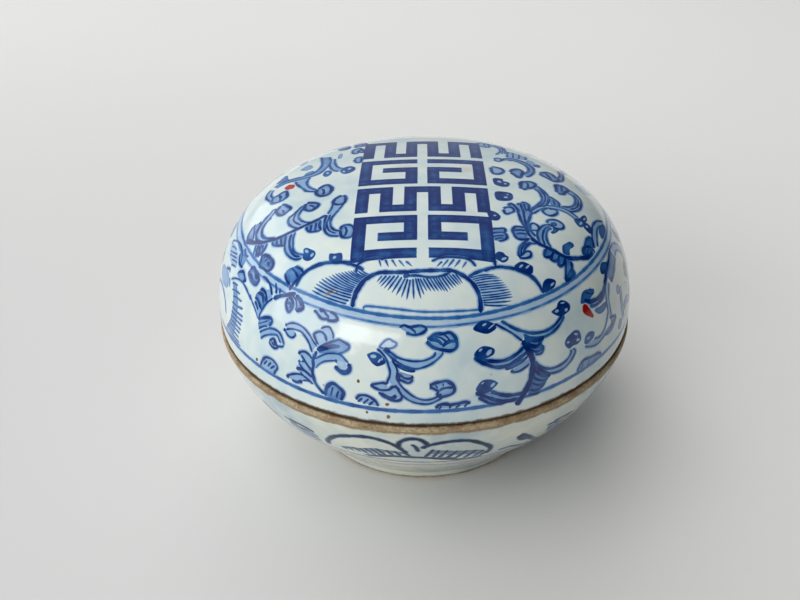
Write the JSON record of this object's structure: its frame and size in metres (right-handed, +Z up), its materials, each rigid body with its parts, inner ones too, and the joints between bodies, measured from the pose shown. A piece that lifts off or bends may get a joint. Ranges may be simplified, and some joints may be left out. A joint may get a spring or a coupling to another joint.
{
  "type": "seal paste box",
  "caption": "Round porcelain box with a domed lift-off lid, a footed bowl with an inner collar, and red seal paste inside; blue painted lotus and scroll decoration.",
  "frame": {"origin": "middle of the foot ring, on the table", "axes": "+Z up along the axis that the box is turned about; -Y is the side that the picture looks at"},
  "size_m": [0.121, 0.121, 0.0803],
  "materials": {
    "lid_porcelain": "clear gloss glaze over blue brushwork, bare rim",
    "base_porcelain": "clear gloss glaze over blue brushwork, bare brown lip and collar",
    "paste": "thick oily red paste"
  },
  "bodies": {
    "base": {"base": "base_porcelain", "seal_paste": "paste"},
    "lid": {"lid": "lid_porcelain"}
  },
  "joints": [
    {"name": "lid_lift", "type": "slide", "parent": "base", "child": "lid", "axis": [0, 0, 1], "range_m": [0, 0.07]}
  ]
}
